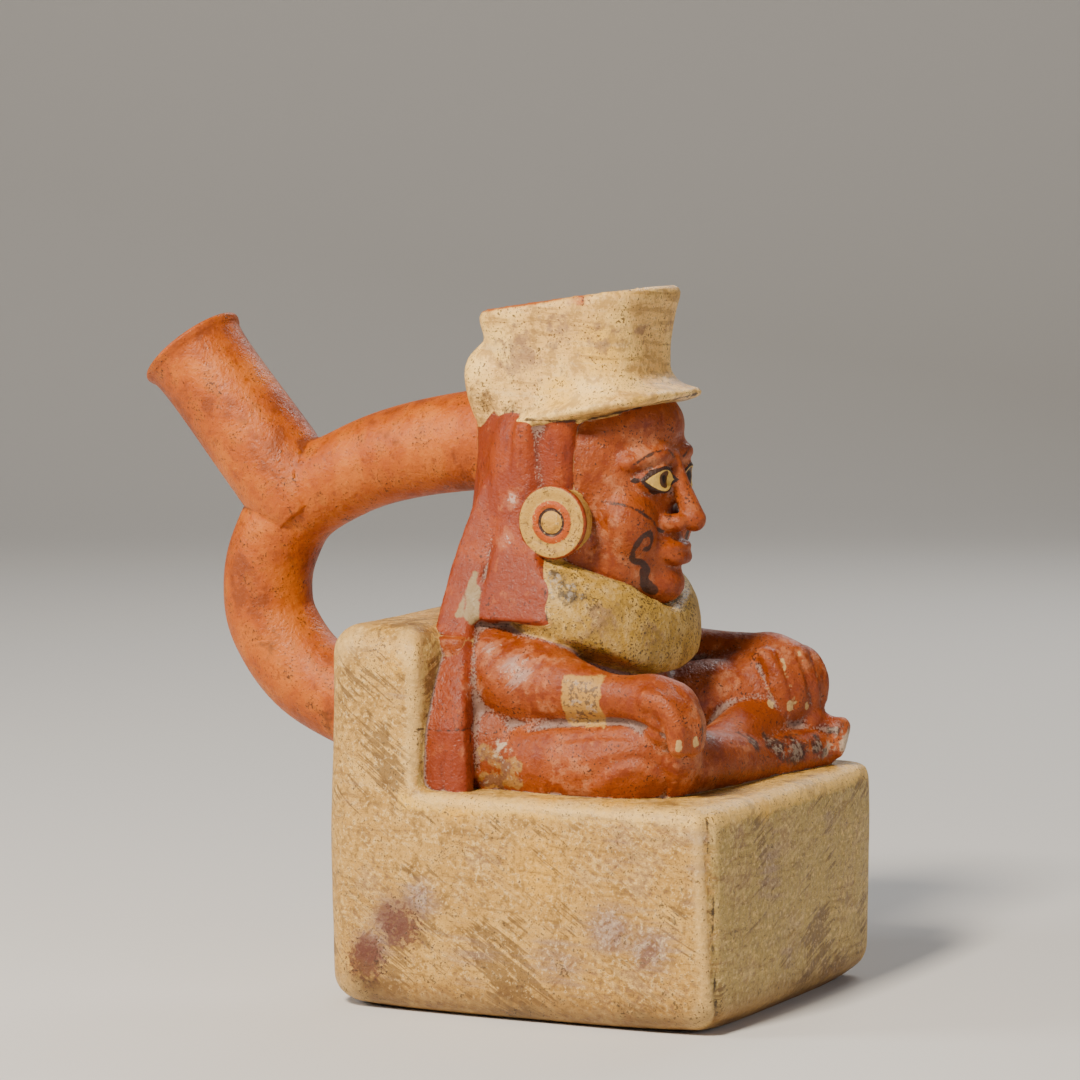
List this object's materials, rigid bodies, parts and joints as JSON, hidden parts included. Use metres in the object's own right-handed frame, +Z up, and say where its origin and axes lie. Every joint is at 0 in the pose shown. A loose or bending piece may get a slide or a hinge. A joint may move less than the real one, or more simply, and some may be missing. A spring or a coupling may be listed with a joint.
{
  "type": "stirrup-spout effigy vessel",
  "caption": "Hollow fired-clay effigy vessel: a cross-legged man in a brimmed hat sits on a box throne, with a stirrup handle and a leaning spout behind.",
  "frame": {"origin": "The middle of the flat underside that the throne rests on.", "axes": "+Z is up, the figure faces -Y, and the stirrup and spout stand behind it towards +Y. The figure's right hand is at -X."},
  "size_m": [0.1314, 0.222, 0.2135],
  "materials": {
    "slip_painted_earthenware": "Fired earthenware with a burnished cream and red-orange slip, soft sheen, worn"
  },
  "bodies": {
    "root": {"effigy_vessel": "slip_painted_earthenware"}
  },
  "joints": []
}
